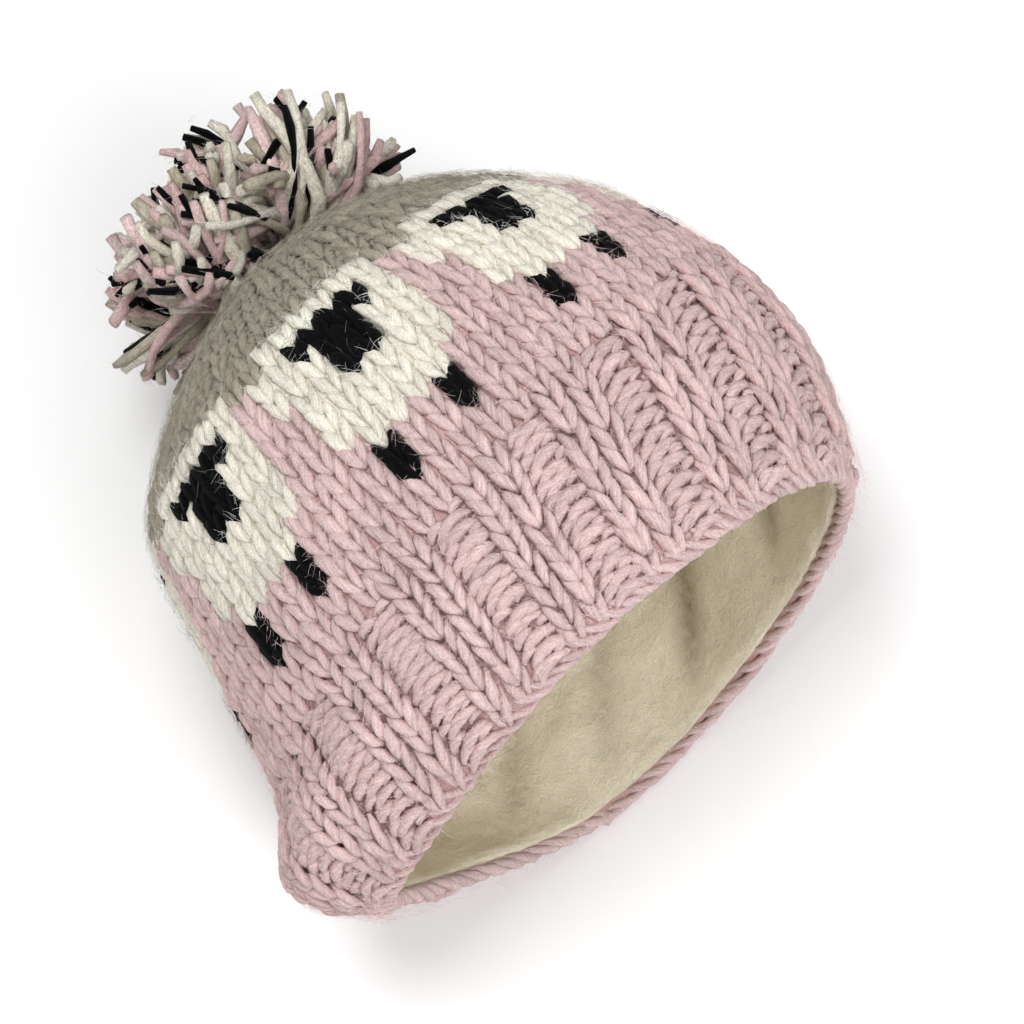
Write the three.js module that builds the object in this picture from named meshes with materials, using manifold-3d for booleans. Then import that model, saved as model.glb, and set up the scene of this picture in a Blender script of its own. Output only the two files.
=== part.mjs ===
// Bobble hat: a hand-knitted wool cover with a ribbed band, a fleece lining inside it and a yarn pompom on
// its crown. Millimetres, +Z up. The hat lies on its side on the plane z = 0, its opening towards -Y and its
// crown towards +Y.
import * as THREE from "three";
import { mergeVertices } from "three/addons/utils/BufferGeometryUtils.js";
import Module from "manifold-3d";

// Knitting
const STITCHES_ROUND = 64;
const RIB_REPEAT = 4;
const RIB_TOP_ROW = 9;
const BAND_ROW = 6;
const GATHER = { turn: 0.03, row: 4, rowSpread: 5.5, share: 0.25 };

// Thicknesses
const COVER_WALL = 6.5;
const LINING_WALL = 4.5;
const SEAT_GAP = 0.3;
const RIB_LIFT = 1.5;
const LINING_HEM_ROW = 0.9;

// Pompom
const POMPOM_CENTRE = { x: 1, y: 173, z: 80 };
const POMPOM_RADIUS = 41;
const POMPOM_SPREAD = 1.12;
const POMPOM_CORE_SHARE = 0.76;
const LOCK_COUNT = 84;
const LOCK_SIDES = 5;
const LOCK_ROOT_RADIUS = 2;
const LOCK_TIP_RADIUS = 6;
const LOCK_LENGTH_SPREAD = 0.1;
const LOWEST_LOCK = -0.62;

// The middle of the hat's box in the plane of the table, which becomes the origin
const ORIGIN = { x: -8.58, y: 104.74 };

// One row for each oval section, counted in knitted rows from the cast-on edge. Each lies across the hat at
// a distance along its axis, with its half width, its rise above and drop below its middle, and the place of
// that middle. Skew, saddle and lean tip the section: along its width, up at both sides, and with its height.
// Pinch draws its two faces together at the -X side, where the cast-on edge is nearly folded.
const COLUMNS = [
  "row", "along", "halfWidth", "rise", "drop", "across", "middle", "skew", "saddle", "lean", "pinch",
];
const SECTIONS = [
  [0, 1, 89, 80.5, 86, -11.5, 84, -0.01, 1.5, 0.06, 0.7],
  [4.5, 29.5, 103.5, 86.5, 90, -10, 84, 0.06, 2.5, 0.025, 0.2],
  [9, 57, 97.5, 89, 92, -2.5, 84, 0.14, 3, 0, 0],
  [13.5, 85.5, 89.5, 86.5, 92, -0.7, 84, 0.1, 3, -0.01, 0],
  [17, 107, 83.5, 84, 88, -0.6, 83.5, 0.05, 1.2, -0.015, 0],
  [20.5, 127.5, 73.5, 79, 80, -3, 83, 0, -1.6, -0.02, 0],
  [24, 143, 57, 66, 62, -2.4, 82, 0, -2.2, -0.015, 0],
  [27.5, 153, 37.5, 45.5, 42, -2.4, 81, 0, -2, -0.01, 0],
  [31, 157.8, 18, 23, 21, -2.5, 80.3, 0, -0.8, 0, 0],
  [34, 159, 3, 3, 3, -2.5, 80, 0, 0, 0, 0],
].map((values) => Object.fromEntries(COLUMNS.map((column, i) => [column, values[i]])));

// The four corners of one rib across two knit and two purl stitches, in stitches, with the way each stands
const RIB_CORNERS = [
  { stitch: 0.95, side: 1 },
  { stitch: 3.25, side: 1 },
  { stitch: 3.65, side: -1 },
  { stitch: 4.55, side: -1 },
];

// Soft folds where the fleece stands off the knitting, by the way round the hat, the knitted row, and their
// spreads.
const LINING_FOLDS = [
  { turn: 0.43, row: 7, turnSpread: 0.035, rowSpread: 6, depth: 2.2 },
  { turn: 0.52, row: 9, turnSpread: 0.05, rowSpread: 5, depth: 1.6 },
  { turn: 0.61, row: 6, turnSpread: 0.04, rowSpread: 7, depth: 2 },
  { turn: 0.7, row: 10, turnSpread: 0.05, rowSpread: 6, depth: 1.8 },
];

// Knitted rows at which the walls have a ring of corners
const CROWN_ROWS = [33.2, 31.8, 29.8, 27.5, 25.3, 23, 20.8, 18.4];
const COVER_OUTER_ROWS = [...CROWN_ROWS, 16, 13.5, 11.2, 9.7, 8.4, 6, 3.6, 1.4, 0.35];
const LINING_ROWS = [3, 5.6, 8.6, 11.6, 14.6, 17.6, 20.6, 23.4, 26.4, 29.4, 31.8, 33.2];
const COVER_INNER_ROWS = [0.35, LINING_HEM_ROW, ...LINING_ROWS];

const RING_SAMPLES = 256;
const ROW_STEP = 0.1;

const COLOURS = { pinkWool: 0xd8b6bb, creamFleece: 0xe4dcc4, mixedYarn: 0xc8b7b1 };

// A smooth curve through the table's rows, for every column at once
function sectionAt(row) {
  const last = SECTIONS.length - 1;
  let i = SECTIONS.findIndex((section) => section.row > row) - 1;
  if (i < 0) i = row < SECTIONS[0].row ? 0 : last - 1;
  const a = SECTIONS[i];
  const b = SECTIONS[i + 1];
  const before = SECTIONS[Math.max(i - 1, 0)];
  const after = SECTIONS[Math.min(i + 2, last)];
  const span = b.row - a.row;
  const t = (row - a.row) / span;
  const section = {};
  for (const key of Object.keys(a)) {
    const slopeA = ((b[key] - before[key]) / (b.row - before.row)) * span;
    const slopeB = ((after[key] - a[key]) / (after.row - a.row)) * span;
    const bend = t * t * (3 - 2 * t);
    section[key] = a[key] + (b[key] - a[key]) * bend
      + slopeA * t * (1 - t) * (1 - t) - slopeB * t * t * (1 - t);
  }
  return section;
}

// A point of an oval section by the angle round it from its top, towards +X. It is flat where it meets z = 0.
function ovalPoint(s, angle) {
  const x = s.halfWidth * Math.sin(angle);
  const reach = Math.cos(angle) > 0 ? s.rise : s.drop;
  const closed = x < 0 ? s.pinch * (x / s.halfWidth) ** 2 : 0;
  const z = Math.max(reach * Math.cos(angle) * (1 - closed), -s.middle);
  const y = s.along + s.skew * x + s.saddle * (x / s.halfWidth) ** 2 + s.lean * z;
  return new THREE.Vector3(s.across + x, y, s.middle + z);
}

// The angle at a share of the way round. Shares are equal lengths round the band, and every row keeps the
// band's angles, so the wales run straight from the cast-on edge to the crown.
const bandLengths = [0];
for (let i = 1; i <= RING_SAMPLES; i += 1) {
  const here = ovalPoint(sectionAt(BAND_ROW), (2 * Math.PI * i) / RING_SAMPLES);
  const last = ovalPoint(sectionAt(BAND_ROW), (2 * Math.PI * (i - 1)) / RING_SAMPLES);
  bandLengths.push(bandLengths[i - 1] + here.distanceTo(last));
}

function angleAt(turn) {
  const length = (turn - Math.floor(turn)) * bandLengths[RING_SAMPLES];
  let i = 1;
  while (bandLengths[i] < length) i += 1;
  const share = (length - bandLengths[i - 1]) / (bandLengths[i] - bandLengths[i - 1]);
  return (2 * Math.PI * (i - 1 + share)) / RING_SAMPLES;
}

// Stitches sit closer together at the front of the band, where it bends round to the -X side.
function gathered(row, turn) {
  const away = GATHER.turn - turn;
  const x = away - Math.round(away);
  const share = x > 0 ? GATHER.share : GATHER.share / 2;
  return turn + share * Math.exp(-(((row - GATHER.row) / GATHER.rowSpread) ** 2)) * (x - 4 * x ** 3);
}

function ovalAt(row) {
  const section = sectionAt(row);
  return (turn) => ovalPoint(section, angleAt(gathered(row, turn)));
}

// A ring of points at one row, each moved inwards from the outer face by its own inset
function ring(row, turns, insetAt) {
  const here = ovalAt(row);
  const below = ovalAt(row - ROW_STEP);
  const above = ovalAt(row + ROW_STEP);
  const turnStep = 1 / RING_SAMPLES;
  return turns.map((turn, k) => {
    const round = here(turn + turnStep).sub(here(turn - turnStep));
    const up = above(turn).sub(below(turn));
    const inward = up.cross(round).normalize();
    const point = here(turn).addScaledVector(inward, insetAt(turn, k));
    point.z = Math.max(point.z, 0);
    return point.sub(new THREE.Vector3(ORIGIN.x, ORIGIN.y, 0));
  });
}

function middleOf(points) {
  const sum = points.reduce((total, point) => total.add(point), new THREE.Vector3());
  return sum.divideScalar(points.length);
}

// The two triangles of a four-sided facet, split along its shorter diagonal so parallel walls split alike
function facet(vertices, a, b, c, d) {
  const across = vertices[a].distanceTo(vertices[c]) < vertices[b].distanceTo(vertices[d]);
  return across ? [a, b, c, a, c, d] : [a, b, d, b, c, d];
}

// A closed skin over rings of corners, from a point inside the first ring to a point inside the last.
function skin(rings) {
  const count = rings[0].length;
  const vertices = [middleOf(rings[0]), ...rings.flat(), middleOf(rings[rings.length - 1])];
  const end = vertices.length - 1;
  const triangles = [];
  for (let k = 0; k < count; k += 1) {
    const next = (k + 1) % count;
    triangles.push(0, 1 + k, 1 + next);
    for (let i = 0; i + 1 < rings.length; i += 1) {
      const a = 1 + i * count;
      const b = a + count;
      triangles.push(...facet(vertices, a + k, b + k, b + next, a + next));
    }
    const lastRing = end - count;
    triangles.push(end, lastRing + next, lastRing + k);
  }
  const geometry = new THREE.BufferGeometry();
  const positions = vertices.flatMap((vertex) => vertex.toArray());
  geometry.setAttribute("position", new THREE.Float32BufferAttribute(positions, 3));
  geometry.setIndex(triangles);
  return geometry;
}

function ribCorner(k) {
  return RIB_CORNERS[k % RIB_REPEAT];
}

const coverTurns = Array.from({ length: STITCHES_ROUND }, (_, k) =>
  (Math.floor(k / RIB_REPEAT) * RIB_REPEAT + ribCorner(k).stitch) / STITCHES_ROUND);
const evenTurns = Array.from({ length: STITCHES_ROUND }, (_, k) => (k + 0.5) / STITCHES_ROUND);

// Ribs stand proud up to the top of the band and die away over half a row.
function ribLift(row, k) {
  const fade = THREE.MathUtils.smoothstep(RIB_TOP_ROW + 0.5 - row, 0, 1);
  return RIB_LIFT * ribCorner(k).side * fade;
}

function knitCover() {
  const outer = COVER_OUTER_ROWS.map((row) => ring(row, coverTurns, (_, k) => -ribLift(row, k)));
  const edge = ring(0, evenTurns, () => COVER_WALL / 2);
  const inner = COVER_INNER_ROWS.map((row) => ring(row, evenTurns, () => COVER_WALL));
  return skin([...outer, edge, ...inner]);
}

function foldDepth(row, turn) {
  return LINING_FOLDS.reduce((depth, fold) => {
    const round = (turn - fold.turn) / fold.turnSpread;
    const along = (row - fold.row) / fold.rowSpread;
    return depth + fold.depth * Math.exp(-round * round - along * along);
  }, 0);
}

function fleeceLining() {
  const back = COVER_WALL + SEAT_GAP;
  const face = back + LINING_WALL;
  const backRows = [...LINING_ROWS].reverse();
  const outer = backRows.map((row) => ring(row, evenTurns, () => back));
  const hem = ring(LINING_HEM_ROW, evenTurns, () => back);
  const hemFace = ring(LINING_HEM_ROW, evenTurns, () => face);
  const inner = LINING_ROWS.map((row) => ring(row, evenTurns, (turn) => face + foldDepth(row, turn)));
  return skin([...outer, hem, hemFace, ...inner]);
}

const wasm = await Module();
wasm.setup();

function toSolid(geometry) {
  const bare = geometry.clone();
  bare.deleteAttribute("normal");
  bare.deleteAttribute("uv");
  const merged = mergeVertices(bare, 1e-4);
  return new wasm.Manifold(new wasm.Mesh({
    numProp: 3,
    vertProperties: new Float32Array(merged.attributes.position.array),
    triVerts: new Uint32Array(merged.index.array),
  }));
}

function fromSolid(solid) {
  const mesh = solid.getMesh();
  const geometry = new THREE.BufferGeometry();
  geometry.setAttribute("position", new THREE.Float32BufferAttribute(mesh.vertProperties, 3));
  geometry.setIndex(Array.from(mesh.triVerts));
  return geometry;
}

// The crown under the pompom, grown by the seat gap, closed by a flat fan below.
function crownSeat() {
  return skin(CROWN_ROWS.map((row) => ring(row, coverTurns, () => -SEAT_GAP)));
}

// One lock of cut yarn, from the middle of the pompom out along a direction.
function lock(centre, direction, length) {
  const geometry = new THREE.CylinderGeometry(LOCK_TIP_RADIUS, LOCK_ROOT_RADIUS, length, LOCK_SIDES);
  geometry.translate(0, length / 2, 0);
  const turn = new THREE.Quaternion().setFromUnitVectors(new THREE.Vector3(0, 1, 0), direction);
  geometry.applyQuaternion(turn);
  return geometry.translate(centre.x, centre.y, centre.z);
}

// Locks spread evenly over a ball by the golden angle, those that would point deep into the crown left out.
// The ball is squashed a little against the crown.
function pompom() {
  const centre = new THREE.Vector3(POMPOM_CENTRE.x - ORIGIN.x, POMPOM_CENTRE.y - ORIGIN.y, POMPOM_CENTRE.z);
  const core = new THREE.IcosahedronGeometry(POMPOM_RADIUS * POMPOM_CORE_SHARE, 2);
  core.scale(POMPOM_SPREAD, 1, POMPOM_SPREAD);
  let solid = toSolid(core.translate(centre.x, centre.y, centre.z));
  const goldenAngle = Math.PI * (3 - Math.sqrt(5));
  for (let i = 0; i < LOCK_COUNT; i += 1) {
    const along = 1 - (2 * i + 1) / LOCK_COUNT;
    if (along < LOWEST_LOCK) continue;
    const across = Math.sqrt(1 - along * along);
    const angle = i * goldenAngle;
    const wide = across * POMPOM_SPREAD;
    const reach = new THREE.Vector3(wide * Math.cos(angle), along, wide * Math.sin(angle));
    const uneven = 1 - LOCK_LENGTH_SPREAD * (1 + Math.sin(5 * angle)) / 2;
    const length = POMPOM_RADIUS * reach.length() * uneven;
    solid = solid.add(toSolid(lock(centre, reach.normalize(), length)));
  }
  return fromSolid(solid.subtract(toSolid(crownSeat())));
}

function piece(name, geometry, colour) {
  const material = new THREE.MeshStandardMaterial({ color: colour, roughness: 0.95, metalness: 0 });
  const mesh = new THREE.Mesh(geometry, material);
  mesh.name = name;
  return mesh;
}

const hat = new THREE.Group();
hat.name = "bobble_hat";
hat.add(piece("knit_cover", knitCover(), COLOURS.pinkWool));
hat.add(piece("fleece_lining", fleeceLining(), COLOURS.creamFleece));
hat.add(piece("pompom", pompom(), COLOURS.mixedYarn));

export default hat;
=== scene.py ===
"""Bobble hat: chunky wool knitted stitch by stitch over a fleece lining, with a yarn pompom on its crown."""

import math

import bpy
import numpy as np
from bpy.props import FloatProperty, FloatVectorProperty, IntProperty, PointerProperty
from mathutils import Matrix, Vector, noise


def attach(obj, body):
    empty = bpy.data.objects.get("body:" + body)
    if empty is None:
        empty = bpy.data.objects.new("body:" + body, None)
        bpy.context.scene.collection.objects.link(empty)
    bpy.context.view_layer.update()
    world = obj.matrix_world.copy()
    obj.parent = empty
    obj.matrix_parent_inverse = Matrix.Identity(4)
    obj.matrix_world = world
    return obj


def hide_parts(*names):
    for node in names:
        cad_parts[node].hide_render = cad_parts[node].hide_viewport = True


bl_info = {
    "name": "Bobble Hat",
    "version": (1, 0, 0),
    "blender": (4, 5, 0),
    "location": "3D View > Sidebar > Bobble Hat",
    "description": "Knits a lined wool hat stitch by stitch and ties a pompom to its crown",
    "category": "Add Mesh",
}

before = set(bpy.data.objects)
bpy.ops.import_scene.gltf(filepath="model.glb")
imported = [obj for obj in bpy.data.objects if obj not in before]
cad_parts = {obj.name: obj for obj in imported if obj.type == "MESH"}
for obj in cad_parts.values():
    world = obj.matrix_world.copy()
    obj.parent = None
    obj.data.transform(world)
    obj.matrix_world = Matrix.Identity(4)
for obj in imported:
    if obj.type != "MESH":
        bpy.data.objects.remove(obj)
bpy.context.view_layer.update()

MM = 0.001
BODY = "root"
FLOOR_CLEARANCE = 0.3 * MM
WELD_GAP = 0.02 * MM

# Each piece has its own seed
RIB_SEED, BODY_SEED, CROWN_SEED, EDGE_SEED, LINING_SEED, POMPOM_SEED, FUZZ_SEED = range(11, 18)

# One row for each oval section of the hat, counted in knitted rows from the cast-on edge, in millimetres.
# Skew, saddle and lean tip the section, and pinch draws its faces together at the -X side.
SECTION_COLUMNS = (
    "row", "along", "half_width", "rise", "drop", "across", "middle", "skew", "saddle", "lean", "pinch",
)
SECTIONS = np.array([
    (0, 1, 89, 80.5, 86, -11.5, 84, -0.01, 1.5, 0.06, 0.7),
    (4.5, 29.5, 103.5, 86.5, 90, -10, 84, 0.06, 2.5, 0.025, 0.2),
    (9, 57, 97.5, 89, 92, -2.5, 84, 0.14, 3, 0, 0),
    (13.5, 85.5, 89.5, 86.5, 92, -0.7, 84, 0.1, 3, -0.01, 0),
    (17, 107, 83.5, 84, 88, -0.6, 83.5, 0.05, 1.2, -0.015, 0),
    (20.5, 127.5, 73.5, 79, 80, -3, 83, 0, -1.6, -0.02, 0),
    (24, 143, 57, 66, 62, -2.4, 82, 0, -2.2, -0.015, 0),
    (27.5, 153, 37.5, 45.5, 42, -2.4, 81, 0, -2, -0.01, 0),
    (31, 157.8, 18, 23, 21, -2.5, 80.3, 0, -0.8, 0, 0),
    (34, 159, 3, 3, 3, -2.5, 80, 0, 0, 0, 0),
])

# Where the frame's zero lies in the table, across and along the hat, in millimetres
ORIGIN = (-8.58, 104.74)

# Knitting: stitches round the hat, where the first sheep and the first row start, and the rows of each part
STITCHES = 64
FIRST_STITCH = -5.9
FIRST_ROW = 0.5
RIB_ROWS = range(9)
BODY_ROWS = range(9, 20)
FEET_ROW = 11

# The row on which the stitches are shared out evenly round the hat
BAND_ROW = 6.0

# Where the stitches sit closer together: turn, row, spread in rows, and share
GATHER = (0.03, 4.0, 5.5, 0.25)

# How uneven the handwork is: spreads of colour and thickness as shares, of place and bend in stitches, of
# slide in rows, and of height in millimetres
UNEVEN_TINT = 0.05
UNEVEN_GIRTH = 0.09
UNEVEN_PLACE = 0.025
UNEVEN_BEND = 0.03
UNEVEN_SLIDE = 0.07
UNEVEN_HEIGHT = 0.25

# The yarn: turn of its fibres in radians a metre, run of their pattern a metre, range of that pattern's
# starts, and spread of its lumps
YARN_TWIST = 300.0
FIBRE_RUN = 60
FIBRE_RANGE = 90
YARN_LUMPS = 0.05

# How much narrower a loose fibre is at its tip
HAIR_TAPER = 0.7

# The four wales of one rib: place and width in stitches, and whether it is knitted or purled
RIB_WALES = np.array([
    (0.585, 1.17, 1),
    (1.585, 0.83, -1),
    (2.415, 0.83, -1),
    (3.415, 1.17, 1),
])

# Where the ribs start to fade into the plain knitting, and over how many rows
RIB_FADE = (8.7, 1.6)

# The lowest rib stitches are drawn in to the rim: up to which row, and by how much of the relief a row
DRAWN_IN = (1.7, 1.5)

# How much of the rib's relief a channel lies under the face
CHANNEL_DEPTH = 0.6

# The two legs of a plain stitch: side, offsets of its foot and head from the wale's middle in stitches,
# length in rows, and half its width in millimetres
LEGS = (
    (-1, 0.04, 0.4, 1.75, 1.9),
    (1, 0.06, 0.4, 1.6, 1.65),
)

# A leg: points along it, how far under its row it starts, sink of its head in millimetres, depth over width
STITCH_STATIONS = 8
LEG_START = 0.35
LEG_SINK = 0.6
LEG_FLATNESS = 0.92

# The rungs of a purled channel, one set for each purled row: shift and length in stitches, level and rise in
# rows, and half its thickness in millimetres
RUNGS = (
    (0.1, 1.75, 0.0, 0.42, 1.95),
    (-0.45, 0.95, 0.4, 0.3, 1.6),
    (0.6, 0.7, 0.45, 0.25, 1.45),
)

# The purled rows, where they start and the rows of plain knitting that they take
PURL_ROWS = 13
FIRST_RUNG = 0.4
PURL_SPAN = len(RIB_ROWS) - 0.1

# A rung: depth of its ends and its bulge in millimetres, slip in stitches, tilt in rows, depth over width
RUNG_DEPTH = 2.9
RUNG_BULGE = 2.4
RUNG_SLIP = 0.06
RUNG_TILT = 0.1
RUNG_FLATNESS = 0.95

# Strands over the cast-on edge: number, points along one, slant in stitches, half its thickness, depth over
# width, and depth and radius of the cord that they make, in millimetres
EDGE_STRANDS = 88
EDGE_STATIONS = 12
EDGE_SLANT = 2.4
EDGE_YARN = 1.6
EDGE_FLATNESS = 0.85
EDGE_DEPTH = 4.6
EDGE_RADIUS = 2.7

# The level of those strands, how far they reach over the rim, and how far their outer ends run up, in rows
EDGE_LEVEL = 0.38
EDGE_REACH = 0.46
EDGE_RUN_UP = 0.4

# One sheep, eight stitches wide, from its feet up: pink ground, cream fleece, black face and feet, grey crown
SHEEP = (
    "PPKPPKPP",
    "PPKPPKPP",
    "PPCCCCPP",
    "PCCCCCCP",
    "PCCCCCCP",
    "PCCKKCCP",
    "CCCKKCCP",
    "CCKKKKCP",
    "GCCCCCCG",
)

# Rounds of the crown between its decreases: first row, row where it ends, stitches left
CROWN_ROUNDS = ((20, 27, 48), (27, 31, 24), (31, 33, 12))

# The crown's stitches stand less high, in millimetres, and vary more in colour
CROWN_LIFT = -0.2
CROWN_UNEVEN_TINT = 0.07

# The wall under the stitches: steps round it and up, first row, felt and what the crown and the cream add to
# it in millimetres, and where the crown's felt starts and over how many rows
GROUND_STEPS = (128, 72)
GROUND_FIRST_ROW = 0.15
FELT = 0.5
CROWN_FELT = 0.3
CREAM_FELT = 0.6
CROWN_FELT_ROWS = (19.8, 1.2)

# Painted shade on the wall that shows between the stitches: how much darker it is painted than its stitches,
# and the share and power that deepen its pink into a reddish shade
GROUND_PAINTED_SHADE = 0.8
PINK_PAINTED_SHADE = (0.9, 1.7)

# Soft creases of the lining, running into the hat: turn at the edge, drift in turns a row, spread in turns,
# and depth in millimetres
LINING_CREASES = (
    (0.30, -0.006, 0.016, 2.5),
    (0.379, -0.007, 0.012, 3.4),
    (0.46, -0.0078, 0.013, 3.8),
    (0.522, -0.0075, 0.012, 2.2),
    (0.57, -0.007, 0.012, 2.4),
    (0.635, -0.006, 0.016, 2.6),
    (0.71, -0.005, 0.016, 2.6),
)

# Where the creases start and where they end, and over how many rows
CREASES_RISE = (0.8, 2.2)
CREASES_FADE = (10, 8)

# Painted shade in the lining's creases: a crease is painted darker past a depth in millimetres, by a share
# for each, and more in some colours for a warmer shade
CREASE_PAINTED_SHADE_FROM = 0.7
CREASE_PAINTED_SHADE = 0.2
CREASE_SHADE_WARMTH = np.array((1.0, 1.06, 1.2))

# Soft lumps of the lining: height in millimetres, scale round the hat and along a row, and start of the noise
LINING_LUMPS = ((1.2, 4, 0.35, 0), (0.9, 9, 0.7, 20))

# The lining: steps round it and up, and its first and last rows
LINING_STEPS = (192, 72)
LINING_FIRST_ROW = 0.3
LINING_LAST_ROW = 33.4

# The lining's depth under the knitting's face, its least depth, flare of its hem and over how many rows, its
# thickness, and depth of the smooth face that it follows, in millimetres
LINING_INSET = 12.2
LINING_LEAST_INSET = 7.8
HEM_FLARE = 4.0
HEM_ROWS = 4
LINING_WALL = 4.0
LINING_GUIDE = 11

# The turns and their spread over which the lining's smooth face is evened out
GUIDE_BLUR = np.linspace(-0.045, 0.045, 9)
GUIDE_SPREAD = 0.025

# The fleece's nap: hairs, rows that they cover, half a hair's width in millimetres, and the painted shade
# that darkens its hairs in a crease
NAP_HAIRS = 20000
NAP_ROWS = 30
NAP_WIDTH = 0.032
NAP_PAINTED_SHADE = 0.08

# How far the crown stands out along the hat by the distance from its middle, that middle, and how far the
# pompom stays clear of it, in millimetres
CROWN_PROFILE = ((0, 20, 41, 61, 76), (159, 157.8, 153, 143, 127.5))
CROWN_MIDDLE = (-2.5, 80)
CROWN_CLEARANCE = 2.6

# The middle of the pompom, in the table's millimetres
POMPOM_CENTRE = (3.2, 170.5, 79)

# Where the pompom parts between its clumps, how much shorter its strands are there, and the angle in radians
POMPOM_PARTING = (0.61, 0.72, 0.33)
PARTING_DEPTH = 0.36
PARTING_SPREAD = 0.28

# The pompom's yarns: share of its strands, brightness against the knitting, and thickness
POMPOM_YARNS = {
    "pink": (0.36, 1.1, 1.0),
    "cream": (0.28, 0.97, 1.0),
    "grey": (0.12, 1.4, 1.0),
    "black": (0.24, 1.0, 0.68),
}

# A strand of the pompom: points along it, thickness by the share of its length, and depth over width
POMPOM_STATIONS = 9
STRAND_TAPER = ((0, 0.5, 0.93, 1), (0.75, 1, 1, 0.85))
STRAND_FLATNESS = 0.8

# The knot in the pompom, a ball painted dark as the shade deep among the strands: its share of the strands'
# reach, and how dark it is painted
TIE_SHARE = 0.42
TIE_PAINTED_SHADE = 0.35

# Loose fibres: the pompom's number, half the width of its fibres and of the knitting's in millimetres, the
# rows of the knitting that they cover, and the first row and the number of rows on the crown
POMPOM_HAIRS = 20000
POMPOM_HAIR_WIDTH = 0.04
FUZZ_WIDTH = 0.042
FUZZ_ROWS = 20.6
CROWN_FUZZ_ROWS = (20.2, 12.3)

# How many of the fibres over the black are pale, and how pale
PALE_SHARE = 0.05
PALE_SHADE = 0.25

# The dry look of a mass of fine fibres
MATT = {"Roughness": 0.95, "Specular IOR Level": 0.05, "Sheen Weight": 0.03, "Sheen Roughness": 0.5}

# The middle of the hat, in the table's millimetres, where the camera and the lamps point
HAT_MIDDLE = (0, 85, 84)

# The camera: degrees round the hat and over the floor, distance and shift of its aim to the right and up in
# metres, and lens and sensor in millimetres
CAMERA_AZIMUTH = -40.55
CAMERA_ELEVATION = 71
CAMERA_DISTANCE = 1.204
CAMERA_SHIFT = (0.0155, -0.0133)
CAMERA_LENS = 152.1
CAMERA_SENSOR = 36

# Soft lamps: metres to the right of the hat's middle, up and ahead, width in metres, and power in watts
LAMPS = {
    "key": (-0.3, 0.5, -1.25, 0.7, 12.5),
    "fill": (0.4, -0.25, -1.3, 0.9, 7),
    "front": (0.95, -0.55, -0.8, 0.8, 5),
}

# The studio: size of the floor in metres, its paleness, and the strength of the light from all round
FLOOR_SIZE = 6
FLOOR_TONE = (0.96, 0.96, 0.96, 1)
FLOOR_ROUGHNESS = 0.9
WORLD_STRENGTH = 0.38


def smoothstep(value):
    value = np.clip(value, 0, 1)
    return value * value * (3 - 2 * value)


def unit(vectors):
    return vectors / np.maximum(np.linalg.norm(vectors, axis=-1, keepdims=True), 1e-12)


def in_frame(point):
    """A place in the table's millimetres, in the frame's metres."""
    return (np.array(point) - np.array((*ORIGIN, 0))) * MM


def section_curve(rows):
    """A smooth curve through the table's rows, for every column at once."""
    knots = SECTIONS[:, 0]
    i = np.clip(np.searchsorted(knots, rows, side="right") - 1, 0, len(knots) - 2)
    a, b = SECTIONS[i], SECTIONS[i + 1]
    before = SECTIONS[np.maximum(i - 1, 0)]
    after = SECTIONS[np.minimum(i + 2, len(knots) - 1)]
    span = b[:, :1] - a[:, :1]
    t = (rows[:, None] - a[:, :1]) / span
    slope_a = (b - before) / (b[:, :1] - before[:, :1]) * span
    slope_b = (after - a) / (after[:, :1] - a[:, :1]) * span
    bend = t * t * (3 - 2 * t)
    curve = a + (b - a) * bend + slope_a * t * (1 - t) ** 2 - slope_b * t * t * (1 - t)
    return {name: curve[:, k, None] for k, name in enumerate(SECTION_COLUMNS)}


def gathered(row, turn):
    """Turns round the hat, with the stitches closer together where the band bends round to the -X side."""
    middle, middle_row, row_spread, share = GATHER
    x = middle - turn - np.round(middle - turn)
    share = np.where(x > 0, share, share / 2)
    return turn + share * np.exp(-(((row - middle_row) / row_spread) ** 2)) * (x - 4 * x**3)


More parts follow.
